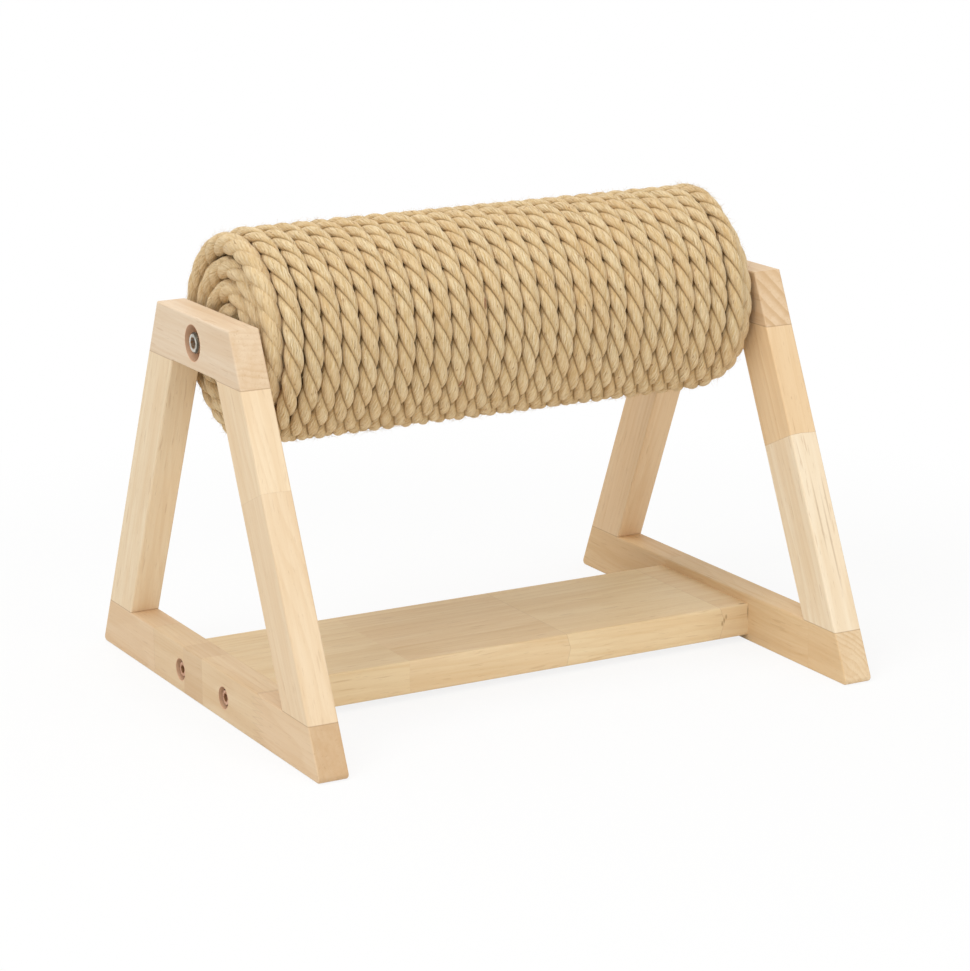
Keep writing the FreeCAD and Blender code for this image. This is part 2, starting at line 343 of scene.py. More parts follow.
@dataclass(frozen=True)
class Timber:
    """One length of timber as it was sawn, glued up and sanded.

    Attributes:
        name: The finish's name.
        along: Direction of the grain.
        face: Direction across the face that shows the fingers.
        start: A point from which places along the timber are measured.
        tones: Colour of each glued block, in order along the grain.
        joints: The finger joints between the blocks.
        seams: Heights of the glued faces against other timbers.
        pith: The rings' centre, off the start, across the face and through it.
        ring: Spacing of the growth rings.
        figure: How strongly the rings show.
        wave: How much the rings and the grain sway.
        grit: How strongly fine fibres show.
        end_tint: What the sawn ends multiply the colour by.
        bores: Counterbores, whose cut walls are darker.
        flaws: Small splits and knots, and painted shade where the timber meets another.
        pith_lean: How far the pith runs askew across the face and through, per metre.
        ring_sway: How far the rings sway.
        grain_sway: How far the grain sways along, across and through.
        block_shift: How far apart in the tree the glued blocks may have grown.
        glue_line: Half width of a glue line.
    """

    name: str
    along: Triple
    face: Triple
    start: Triple
    tones: Tuple[Colour, ...]
    joints: Tuple[FingerJoint, ...] = ()
    seams: Tuple[float, ...] = ()
    pith: Tuple[float, float] = (0.05, 0.06)
    ring: float = 0.0042
    figure: float = 0.3
    wave: float = 1.0
    grit: float = 1.0
    end_tint: Colour = (0.95, 0.91, 0.84)
    bores: Tuple[Bore, ...] = ()
    flaws: Tuple[FlawOrShade, ...] = ()
    pith_lean: Tuple[float, float] = (0.045, -0.03)
    ring_sway: float = 0.016
    grain_sway: Triple = (0.0, 0.014, 0.011)
    block_shift: Triple = (0.36, 0.09, 0.09)
    glue_line: float = 0.00022

    def local(self, shader: Shader) -> Sequence[bpy.types.NodeSocket]:
        """Places along the grain, across the face and through the timber.

        Args:
            shader: The material to build in.

        Returns:
            The three places, in metres.
        """
        from_start = shader.vector("SUBTRACT", shader.place, self.start)
        through = tuple(Vector(self.along).cross(Vector(self.face)))
        return [shader.vector("DOT_PRODUCT", from_start, axis) for axis in (self.along, self.face, through)]

    def glue_up(self, shader: Shader, along: Value, across: Value) -> Tuple[Value, Value]:
        """Which glued block a point lies in, and how close it is to a glue line.

        Args:
            shader: The material to build in.
            along: Place along the grain.
            across: Place across the face.

        Returns:
            The block's number, and the darkness of the glue.
        """
        block: Value = 0.0
        stain: Value = 0.0
        for joint in self.joints:
            slope = 4 * joint.reach / joint.pitch
            finger = shader.math("PINGPONG", shader.math("ADD", across, 1.0), joint.pitch / 2)
            finger = shader.math("MULTIPLY_ADD", finger, slope, joint.at - joint.reach)
            past = shader.math("SUBTRACT", along, finger)
            block = shader.math("ADD", block, shader.math("GREATER_THAN", past, 0.0))
            half_line = self.glue_line * math.hypot(1.0, slope)
            off = shader.math("ABSOLUTE", past)
            near = shader.fade(off, half_line / 2, half_line * 1.6, joint.stain, 0.0)
            stain = shader.math("MAXIMUM", stain, near)
        return block, stain

    def rings(self, shader: Shader, place: Value, sway: Value) -> Value:
        """The growth rings, about a pith that runs a little askew.

        Args:
            shader: The material to build in.
            place: Where in the tree a point grew.
            sway: How far the grain has swayed there.

        Returns:
            How much of the darker late wood there is.
        """
        u, v, w = shader.parts(place)
        askew = [shader.math("MULTIPLY_ADD", u, lean, shader.math("SUBTRACT", side, pith))
                 for lean, side, pith in zip(self.pith_lean, (v, w), self.pith)]
        radius = shader.vector("LENGTH", shader.join(0.0, *askew))
        radius = shader.math("MULTIPLY_ADD", sway, self.ring_sway * self.wave, radius)
        count = shader.math("DIVIDE", radius, self.ring)
        share = shader.math("FRACT", count)
        stops = shader.fade(share, 0.88, 0.99, 1.0, 0.0)
        late = shader.math("MULTIPLY", shader.fade(share, 0.25, 0.86), stops)
        year = shader.noise(shader.join(shader.math("FLOOR", count), 0.0, 3.0), 0.77, 0.0)
        return shader.math("MULTIPLY", late, shader.fade(year, 0.25, 0.7, 0.25, 1.0))

    def material(self) -> bpy.types.Material:
        """Builds the finish.

        Returns:
            The material.
        """
        shader = Shader(self.name)
        along, across, through = self.local(shader)
        block, stain = self.glue_up(shader, along, across)
        draw = shader.chance(shader.math("ADD", block, len(self.name) * 1.7))
        moved = shader.vector("MULTIPLY", shader.vector("SUBTRACT", draw, (0.5,) * 3), self.block_shift)
        place = shader.vector("ADD", shader.join(along, across, through), moved)
        sway = SWAY.at(shader, place)
        late = self.rings(shader, place, sway)
        waved = tuple(self.wave * reach for reach in self.grain_sway)
        grain = shader.vector("MULTIPLY_ADD", sway, waved, place)
        patterns = (CLOUD, FLUSH, STREAK, FIBRE, PORE, DASH)
        cloud, flush, streak, fibre, pore, dash = (pattern.at(shader, grain) for pattern in patterns)
        pore = shader.fade(pore, 0.67, 0.76)
        dash = shader.fade(dash, 0.66, 0.76)

        colour = self.block_colour(shader, block)
        deeper, paler, pinker = (shader.blend(1.0, colour, tint, "MULTIPLY") for tint in (
            (0.87, 0.78, 0.66), (1.03, 1.05, 1.08), (0.97, 0.93, 0.89)))
        colour = shader.coats(
            colour,
            (shader.fade(cloud, 0.35, 0.7, 0.0, 0.8), paler),
            (shader.fade(flush, 0.44, 0.68, 0.0, 0.7), pinker),
            (shader.math("MULTIPLY", late, self.figure), deeper),
            (shader.fade(streak, 0.42, 0.74, 0.0, 0.42 * self.grit), deeper),
            (shader.fade(fibre, 0.42, 0.75, 0.0, 0.30 * self.grit), deeper),
            (shader.math("MULTIPLY", pore, 0.26 * self.grit), tone(176, 136, 92)),
            (shader.math("MULTIPLY", dash, 0.30 * self.grit), tone(190, 150, 106)))
        colour, stain = self.age(shader, colour, late, stain)
        # Dark marks: real splits and knots, and painted shade where a timber meets another.
        for flaw in self.flaws:
            off = shader.vector("DIVIDE", shader.vector("SUBTRACT", shader.place, flaw.place), flaw.reach)
            off = shader.math("MULTIPLY_ADD", streak, 0.8, shader.vector("LENGTH", off))
            colour = shader.blend(shader.fade(off, 0.7, 1.5, flaw.strength, 0.0), colour, tone(132, 92, 52))
        for bore in self.bores:
            off = shader.from_axis(bore.y, bore.z)
            inside = shader.fade(off, bore.radius + 0.0001, bore.radius + 0.0006, 0.9, 0.0)
            colour = shader.blend(inside, colour, bore.wall)

        normal = shader.bump((fibre, 0.00016, 0.5), (late, 0.00010, 0.4), (pore, -0.00018, 0.5),
                             (stain, -0.0004, 0.6))
        rough = shader.fade(fibre, 0.3, 0.8, 0.50, 0.66)
        shader.settle(Base_Color=colour, Roughness=rough, Normal=normal, Specular_IOR_Level=0.32)
        return shader.material

    def age(self, shader: Shader, colour: Value, late: Value, stain: Value) -> Tuple[Value, Value]:
        """Darkens the sawn ends, which drink the oil and show the rings, and the glue lines.

        Args:
            shader: The material to build in.
            colour: The wood's colour.
            late: How much late wood there is.
            stain: How dark the glue of the finger joints is.

        Returns:
            The aged colour, and how dark any glue is.
        """
        normal = shader.node("NewGeometry").outputs["Normal"]
        end = shader.math("ABSOLUTE", shader.vector("DOT_PRODUCT", normal, self.along))
        dark_end = shader.blend(1.0, colour, self.end_tint, "MULTIPLY")
        ring_mark = shader.math("MULTIPLY", late, min(1.0, 1.2 * self.figure))
        dark_end = shader.blend(ring_mark, dark_end, tone(196, 158, 112))
        colour = shader.blend(shader.fade(end, 0.55, 0.92, 0.0, 0.75), colour, dark_end)
        height = shader.parts(shader.place)[2]
        upright = shader.fade(shader.math("ABSOLUTE", shader.parts(normal)[2]), 0.7, 0.9, 1.0, 0.0)
        for seam in self.seams:
            gap = shader.math("ABSOLUTE", shader.math("SUBTRACT", height, seam))
            line = shader.math("MULTIPLY", upright, shader.fade(gap, 0.0001, 0.00055, 0.45, 0.0))
            stain = shader.math("MAXIMUM", stain, line)
        return shader.blend(stain, colour, tone(150, 110, 72)), stain

    def block_colour(self, shader: Shader, block: Value) -> Value:
        """The plain colour of the block that a point lies in.

        Args:
            shader: The material to build in.
            block: The block's number.

        Returns:
            The colour.
        """
        colour: Value = self.tones[0]
        for number, next_tone in enumerate(self.tones[1:]):
            past = shader.math("GREATER_THAN", block, number + 0.5)
            colour = shader.blend(past, colour, next_tone)
        return colour


@dataclass(frozen=True)
class Metal:
    """Zinc-plated steel.

    Attributes:
        name: The finish's name.
        heads: Middle of each bolt head that it covers, as (y, z).
        socket: Corner radius of the hexagon sockets, inside which the colour is painted browner and less
            metallic.
        bright: Colour of the clean plating; on the shelf heads it is reddish, a painted reflection of the
            wood round them.
        dull: Colour where it has dulled; on the shelf heads reddish too, for the same painted reflection.
        chamfer_reflection: Colour of the painted dark reflection on the chamfer round a head.
        socket_brown: Colour painted inside a socket.
        polish: Roughness where it is clean, and where it is dull.
    """

    name: str = "bright_zinc"
    heads: Tuple[Tuple[float, float], ...] = ()
    socket: float = 0.0
    bright: Colour = tone(206, 204, 194)
    dull: Colour = tone(150, 146, 134)
    chamfer_reflection: Colour = tone(72, 64, 50)
    socket_brown: Colour = tone(150, 108, 66)
    polish: Tuple[float, float] = (0.22, 0.42)

    def material(self) -> bpy.types.Material:
        """Builds the finish.

        Returns:
            The material.
        """
        shader = Shader(self.name)
        spangle = shader.noise(shader.place, 420.0, 3.0, 0.6)
        scuff = shader.noise(shader.vector("MULTIPLY", shader.place, (300.0, 2600.0, 2600.0)), 1.0, 2.0)
        colour = shader.blend(shader.fade(spangle, 0.4, 0.7), self.bright, self.dull)
        metallic: Value = 1.0
        if self.heads:
            colour, metallic = self.tint_heads(shader, colour)
        rough = shader.fade(spangle, 0.3, 0.75, *self.polish)
        normal = shader.bump((scuff, 0.00004, 0.5))
        shader.settle(Base_Color=colour, Metallic=metallic, Roughness=rough, Normal=normal)
        return shader.material

    def tint_heads(self, shader: Shader, colour: Value) -> Tuple[Value, Value]:
        """Paints a dark reflection on the chamfer round each head, and paints its socket brown and less
        metallic.

        Args:
            shader: The material to build in.
            colour: The plating's colour.

        Returns:
            The aged colour, and how metallic it is.
        """
        reach: Value = 1.0
        for y, z in self.heads:
            reach = shader.math("MINIMUM", reach, shader.from_axis(y, z))
        # Painted reflection: the chamfer round each head is darkened, as if it mirrored dark surroundings.
        normal = shader.node("NewGeometry").outputs["True Normal"]
        facing = shader.math("ABSOLUTE", shader.vector("DOT_PRODUCT", normal, (1.0, 0.0, 0.0)))
        slanting = shader.fade(facing, 0.35, 0.5, 0.0, 0.92)
        chamfer = shader.math("MULTIPLY", slanting, shader.fade(facing, 0.85, 0.95, 1.0, 0.0))
        colour = shader.blend(chamfer, colour, self.chamfer_reflection)
        # The socket is painted brown and made less metallic.
        inside = shader.fade(reach, self.socket * 0.99, self.socket * 1.04, 0.95, 0.0)
        clump = shader.noise(shader.place, 900.0, 2.0, 0.6)
        socket_brown = shader.blend(shader.fade(clump, 0.4, 0.65), self.socket_brown, self.dull)
        return shader.blend(inside, colour, socket_brown), shader.math("MULTIPLY_ADD", inside, -0.95, 1.0)


@dataclass(frozen=True)
class Board:
    """Pressed board, card or moulded plastic: one colour with specks and a fine tooth.

    Attributes:
        name: The finish's name.
        base: Its colour.
        speck: Colour of its specks or fibres.
        grain: Specks per metre.
        rough: Roughness.
        tooth: Depth of its texture.
    """

    name: str
    base: Colour
    speck: Colour
    grain: float
    rough: float
    tooth: float

    def material(self) -> bpy.types.Material:
        """Builds the finish.

        Returns:
            The material.
        """
        shader = Shader(self.name)
        speck = shader.noise(shader.place, self.grain, 4.0, 0.65)
        cloud = shader.noise(shader.place, self.grain / 14, 2.0)
        colour = shader.coats(self.base, (shader.fade(speck, 0.45, 0.7), self.speck),
                              (shader.fade(cloud, 0.35, 0.7, 0.0, 0.3), self.speck))
        rough = shader.fade(speck, 0.3, 0.8, self.rough - 0.08, self.rough + 0.08)
        shader.settle(Base_Color=colour, Roughness=rough, Normal=shader.bump((speck, self.tooth, 0.6)))
        return shader.material


# how the jute varies along its yarns, and along the strand
FINE = Pattern((3.0, 130.0, 0.0), detail=4.0, roughness=0.75)
TUFT = Pattern((1.7, 105.0, 0.0), (0.0, 0.0, 4.0), 2.0, 0.6)
SPOT = Pattern((1.4, 230.0, 0.0), (0.0, 0.0, 9.0), 0.0)
LENGTH = Pattern((1.9, 0.0, 0.0))
PATCH = Pattern((22.0, 0.0, 0.0), (0.0, 7.0, 0.0))


@dataclass(frozen=True)
class Jute:
    """Natural jute, spun into yarns that are laid into strands.

    It reads two things of the strand: its UV map, and how deep each point lies between the turns, which sets
    the painted shade there.

    Attributes:
        name: The finish's name.
        light: Colour of the fibres that catch the light.
        middle: Colour of most fibres.
        golden: Colour of the yellower lengths.
        crevice_shade: Colour of the painted shade between the strands and between the turns.
        fleck: Colour of bark flecks.
        marks: Places of the reddish bark slivers.
        mark_often: One over the reach of a sliver in each direction.
        yarns: Yarns round a strand.
        twist: Length of strand in which its yarns pass once round it.
    """

    name: str = "laid_jute"
    light: Colour = tone(248, 230, 192)
    middle: Colour = tone(224, 196, 151)
    golden: Colour = tone(223, 189, 138)
    crevice_shade: Colour = tone(114, 74, 26)
    fleck: Colour = tone(150, 92, 52)
    marks: Tuple[Triple, ...] = ((-0.0323, -0.0769, 0.3020), (-0.0502, -0.0698, 0.2407))
    mark_often: Triple = (520.0, 260.0, 170.0)
    yarns: int = 12
    twist: float = 0.0291

    def material(self) -> bpy.types.Material:
        """Builds the finish. The strand's UV map runs round it, 0.5 outwards, and along it in metres.

        Returns:
            The material.
        """
        shader = Shader(self.name)
        uv = shader.node("UVMap")
        uv.uv_map = RopeStrand.uv_name
        round_strand, along, _ = shader.parts(uv.outputs[0])
        wobble = shader.noise(shader.place, 260.0, 1.0)
        yarn = shader.math("SUBTRACT", round_strand, shader.math("DIVIDE", along, self.twist))
        yarn = shader.math("MULTIPLY", yarn, float(self.yarns))
        yarn = shader.math("MULTIPLY_ADD", wobble, 0.9, yarn)
        groove = shader.math("ABSOLUTE", shader.math("SUBTRACT", shader.math("FRACT", yarn), 0.5))
        groove = shader.fade(groove, 0.18, 0.5)
        spun = shader.join(yarn, along, 0.0)
        fine, tuft, spot = (pattern.at(shader, spun) for pattern in (FINE, TUFT, SPOT))
        onward = shader.join(along, 0.0, 0.0)
        length, patch = (pattern.at(shader, onward) for pattern in (LENGTH, PATCH))

        colour = shader.coats(self.middle, (shader.fade(fine, 0.32, 0.68), self.light),
                              (shader.fade(length, 0.42, 0.66, 0.0, 0.35), self.golden),
                              (shader.fade(patch, 0.5, 0.75, 0.0, 0.25), self.golden))
        deeper = shader.blend(1.0, colour, (0.80, 0.69, 0.50), "MULTIPLY")
        frayed = self.strand_value(shader, RopeStrand.frayed_name)
        # The grooves between the yarns get painted shade; tufts, dark fibres and bark flecks are the jute's
        # own colours.
        colour = shader.coats(colour, (shader.fade(tuft, 0.38, 0.68, 0.0, 0.8), deeper),
                              (shader.fade(fine, 0.25, 0.45, 0.55, 0.0), deeper),
                              (shader.math("MULTIPLY", groove, 0.3), deeper),
                              (shader.fade(spot, 0.74, 0.80, 0.0, 0.6), self.fleck),
                              (shader.math("MULTIPLY", frayed, 0.3), self.middle))
        clean = shader.math("MULTIPLY_ADD", frayed, -0.85, 1.0)
        # Painted shade: darker and browner towards the strand's flanks, where it meets the other strands,
        # and deeper between the turns; less of it on the frayed end face.
        aside = shader.math("ABSOLUTE", shader.math("SUBTRACT", round_strand, 0.5))
        aside = shader.math("MULTIPLY_ADD", shader.math("SUBTRACT", fine, 0.5), 0.16, aside)
        painted_shade = shader.math("MULTIPLY_ADD", shader.math("SUBTRACT", tuft, 0.5), 0.5,
                              self.strand_value(shader, RopeStrand.painted_shade_name))
        for dark, tint in ((shader.fade(aside, 0.09, 0.27, 0.0, 0.7), deeper),
                           (shader.fade(aside, 0.20, 0.29, 0.0, 0.75), self.crevice_shade),
                           (shader.fade(painted_shade, 0.0, 0.82, 0.0, 0.95), self.crevice_shade)):
            colour = shader.blend(shader.math("MULTIPLY", dark, clean), colour, tint)
        for mark in self.marks:
            off = shader.vector("SUBTRACT", shader.place, mark)
            off = shader.vector("LENGTH", shader.vector("MULTIPLY", off, self.mark_often))
            colour = shader.blend(shader.fade(off, 0.6, 1.1, 0.85, 0.0), colour, self.fleck)

        normal = shader.bump((groove, -0.0004, 0.7), (tuft, -0.0007, 0.8), (fine, 0.0008, 0.9))
        shader.settle(Base_Color=colour, Roughness=shader.fade(fine, 0.3, 0.7, 0.78, 0.95), Normal=normal,
                      Specular_IOR_Level=0.15, Sheen_Weight=0.1, Sheen_Roughness=0.7)
        return shader.material

    def strand_value(self, shader: Shader, name: str) -> bpy.types.NodeSocket:
        """Returns the strand's own value of that name at each point."""
        return shader.node("Attribute", attribute_name=name).outputs["Fac"]


@dataclass(frozen=True)
class Floor:
    """The pale studio floor. The camera sees it as near white, with the object's soft shadow.

    Attributes:
        name: The finish's name.
        base: Its colour.
        glow: Share of plain white in what the camera sees near the object.
        clear_at: Distance from the object past which it is all white.
    """

    name: str = "pale_floor"
    base: Colour = (0.86, 0.86, 0.85)
    glow: float = 0.84
    clear_at: float = 0.85

    def material(self) -> bpy.types.Material:
        """Builds the finish.

        Returns:
            The material.
        """
        shader = Shader(self.name)
        shader.settle(Base_Color=self.base, Roughness=0.9, Specular_IOR_Level=0.0)
        distance = shader.vector("LENGTH", shader.place)
        white = shader.fade(distance, self.clear_at / 2, self.clear_at, self.glow, 1.0)
        white = shader.math("MULTIPLY", shader.seen(), white)
        glow = shader.node("Emission").outputs[0]
        mix = shader.node("MixShader", white, shader.bsdf.outputs[0], glow)
        shader.feed(shader.surface, mix.outputs[0])
        return shader.material


# ---- stand -----------------------------------------------------------------------------------------
class Side(Enum):
    """The two ends of the roller."""

    LEFT = "left"
    RIGHT = "right"

    @property
    def sign(self) -> int:
        """Which way along X the end lies."""
        return -1 if self is Side.LEFT else 1


@dataclass
class Stand:
    """The two A-frames, the shelf and what fastens them.

    Attributes:
        end_slope: How far the legs lean inwards per metre of height.
        foot_seam: Height of the glued faces between rail and legs.
        cap_seam: Height of the glued faces between legs and cap.
        axle_bore_radius: Radius of the counterbore in a cap block.
        shelf_bore_radius: Radius of the counterbores in a foot rail.
        shelf_bolt_spacing: Distance between the two bolts of a rail.
        shelf_setback: Middle of the shelf, behind the middle of the stand.
        axle_key: Width across the flats of the socket in an axle bolt.
        shelf_key: Width across the flats of the sockets in the shelf bolts.
    """

    end_slope: float = 0.4515
    foot_seam: float = field(default_factory=lambda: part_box("left_foot_rail")[1].z)
    cap_seam: float = field(default_factory=lambda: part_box("left_cap_block")[0].z)
    axle_bore_radius: float = 0.0137
    shelf_bore_radius: float = 0.00855
    shelf_bolt_spacing: float = 0.080
    shelf_setback: float = 0.003
    axle_key: float = 0.008
    shelf_key: float = 0.006

    @property
    def axle_bore(self) -> Bore:
        """The counterbore of a cap block."""
        low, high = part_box("left_axle_bolt")
        return Bore((low.y + high.y) / 2, (low.z + high.z) / 2, self.axle_bore_radius)

    @property
    def shelf_bores(self) -> Tuple[Bore, ...]:
        """The two counterbores of a foot rail."""
        low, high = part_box("left_shelf_bolts")
        height = (low.z + high.z) / 2
        middles = [self.shelf_setback + side * self.shelf_bolt_spacing / 2 for side in (-1, 1)]
        return tuple(Bore(y, height, self.shelf_bore_radius) for y in middles)

    def leg(self, side: Side, front: bool, tones: Tuple[Colour, ...], **details: object) -> Timber:
        """The timber of one leg.

        Args:
            side: Which A-frame.
            front: Whether it is the front leg.
            tones: Colours of its blocks, from the floor up.
            **details: Other values of the timber.

        Returns:
            The timber.
        """
        place = "front" if front else "back"
        low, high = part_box(f"{side.value}_{place}_leg")
        lean = self.end_slope if front else -self.end_slope
        start = (low.x, low.y if front else high.y, low.z)
        return Timber(name=f"{side.value}_{place}_leg", along=unit(0.0, lean, 1.0), face=(1.0, 0.0, 0.0),
                      start=start, tones=tones, seams=(self.foot_seam, self.cap_seam), **details)

    def level(self, node: str, along: Triple, face: Triple, tones: Tuple[Colour, ...],
              **details: object) -> Timber:
        """The timber of a rail, a cap or the shelf.

        Args:
            node: The frame's node.
            along: Direction of its grain.
            face: Direction across the face that shows its fingers.
            tones: Colours of its blocks, in order along the grain.
            **details: Other values of the timber.

        Returns:
            The timber.
        """
        low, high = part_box(node)
        middle = (low + high) / 2
        return Timber(name=node, along=along, face=face, start=tuple(middle), tones=tones, **details)

    def timbers(self) -> Dict[str, Timber]:
        """Every timber of the stand by the name of its node."""
        pink = tone(227, 204, 175)
        cream = tone(232, 207, 172)
        cap_cream = tone(224, 197, 162)
        rail_cream = tone(225, 198, 160)
        rail_pink = tone(218, 189, 151)
        straw = tone(235, 213, 179)
        honey = tone(223, 191, 147)
        honey_pale = tone(225, 195, 152)
        leg_honey = tone(231, 202, 163)
        pale = tone(235, 211, 176)
        chalk = tone(240, 222, 193)
        tan = tone(225, 196, 159)
        leg_tan = tone(234, 206, 166)
        board = tone(235, 211, 170)
        board_pink = tone(233, 207, 166)
        along = (0.0, -1.0, 0.0)
        up = (0.0, 0.0, 1.0)
        axle = self.axle_bore
        return {
            "left_foot_rail": self.level(
                "left_foot_rail", along, up, (tan, rail_cream, rail_pink, rail_cream, tan),
                joints=(FingerJoint(-0.0945, 0.0006, 0.0040, 0.22), FingerJoint(-0.0367, 0.0002, 0.02, 0.05),
                        FingerJoint(-0.0020, 0.0002, 0.03, 0.06), FingerJoint(0.0980, 0.0090, 0.0050, 0.16)),
                seams=(self.foot_seam,), pith=(0.0, 0.30), figure=0.22, end_tint=(0.77, 0.70, 0.61),
                grit=0.8, bores=self.shelf_bores),
            "right_foot_rail": self.level(
                "right_foot_rail", along, up, (honey, honey_pale, honey_pale),
                joints=(FingerJoint(-0.062, stain=0.12), FingerJoint(0.148, 0.0005, 0.004, 0.08)),
                seams=(self.foot_seam,), pith=(-0.04, 0.05), wave=1.4, end_tint=(1.0, 1.05, 1.16),
                bores=self.shelf_bores),
            "left_front_leg": self.leg(
                Side.LEFT, True, (cream, pale), joints=(FingerJoint(0.168, 0.0002, 0.02, 0.1),),
                pith=(-0.03, 0.05), figure=0.28, grit=0.75),
            "left_back_leg": self.leg(Side.LEFT, False, (straw,), pith=(0.05, -0.04), figure=0.25),
            "right_front_leg": self.leg(
                Side.RIGHT, True, (chalk, leg_tan), joints=(FingerJoint(0.157, 0.0003, 0.02, 0.2),),
                pith=(0.05, 0.07), ring=0.0075, figure=0.62, wave=1.5,
                flaws=(FlawOrShade((0.2205, -0.130, 0.118), (0.0011, 0.080, 0.034), 0.32),
                       FlawOrShade((0.2262, -0.130, 0.098), (0.0010, 0.080, 0.046), 0.32),
                       FlawOrShade((0.2300, -0.130, 0.132), (0.0009, 0.080, 0.022), 0.28))),
            "right_back_leg": self.leg(Side.RIGHT, False, (leg_honey,), pith=(0.03, 0.06), figure=0.35),
            "left_cap_block": self.level("left_cap_block", along, up, (pink,), seams=(self.cap_seam,),
                                         pith=(0.25, -0.02), figure=0.2, bores=(axle,)),
            "right_cap_block": self.level("right_cap_block", along, up, (cap_cream,), seams=(self.cap_seam,),
                                          pith=(-0.15, 0.15), ring=0.0085, figure=0.6, wave=0.35,
                                          end_tint=(0.98, 0.95, 0.91), bores=(axle,)),
            "shelf_board": self.level(
                "shelf_board", (1.0, 0.0, 0.0), up, (board, board_pink, board, board_pink),
                joints=(FingerJoint(-0.093, 0.0002, 0.02, 0.03), FingerJoint(0.0455, 0.0018, 0.026, 0.22),
                        FingerJoint(0.1865, 0.0022, 0.026, 0.22)),
                pith=(0.07, 0.03), ring=0.0065, figure=0.42, wave=1.5,
                flaws=(FlawOrShade((0.1866, -0.0630, 0.0178), (0.0012, 0.0020, 0.0027), 0.5),
                       FlawOrShade((0.1884, -0.0630, 0.0204), (0.0012, 0.0020, 0.0027), 0.5),
                       FlawOrShade((0.1902, -0.0630, 0.0230), (0.0012, 0.0020, 0.0027), 0.5),
                       FlawOrShade((0.2065, -0.0605, 0.0308), (0.0042, 0.0016, 0.0020), 0.65),
                       # Painted shade at the board's end, where it meets the right foot rail.
                       FlawOrShade((0.2108, -0.0625, 0.0240), (0.0008, 0.0030, 0.0070), 0.7))),
        }

    def dress(self) -> None:
        """Gives every node of the stand and its fixings a finish."""
        for node, timber in self.timbers().items():
            dress_node(node, timber.material())
        dowel = Timber("birch_dowel", (0.0, 0.0, 1.0), (1.0, 0.0, 0.0), (0.0, 0.0, 0.0),
                       (tone(226, 200, 158),)).material()
        zinc = Metal().material()
        axle_head = Metal("axle_plating", ((self.axle_bore.y, self.axle_bore.z),),
                          self.axle_key / math.sqrt(3.0)).material()
        # The shelf heads' reddish plating is a painted reflection of the wood round them.
        shelf_head = Metal("shelf_head_wood_reflection", tuple((bore.y, bore.z) for bore in self.shelf_bores),
                           self.shelf_key / math.sqrt(3.0), bright=tone(220, 182, 156),
                           dull=tone(182, 136, 106), socket_brown=tone(150, 108, 66), polish=(0.4, 0.6)).material()
        nylon = Board("nylon", tone(206, 204, 196), tone(190, 188, 180), 900.0, 0.45, 0.00002).material()
        for side in Side:
            for part in ("foot_dowels", "cap_dowels"):
                dress_node(f"{side.value}_{part}", dowel)
            for part in ("shelf_washers", "shelf_inserts", "axle_washer", "axle_sleeve", "tee_nut"):
                dress_node(f"{side.value}_{part}", zinc)
            dress_node(f"{side.value}_axle_bolt", axle_head)
            dress_node(f"{side.value}_shelf_bolts", shelf_head)
            dress_node(f"{side.value}_cap_bush", nylon)


def dress_node(node: str, material: bpy.types.Material) -> None:
    """Gives a node of the frame a finish.

    Args:
        node: The node's name.
        material: The finish.
    """
    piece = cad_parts[node]
    for place in piece.material_slots:
        place.material = material
    log.info("%s: %s", node, material.name)


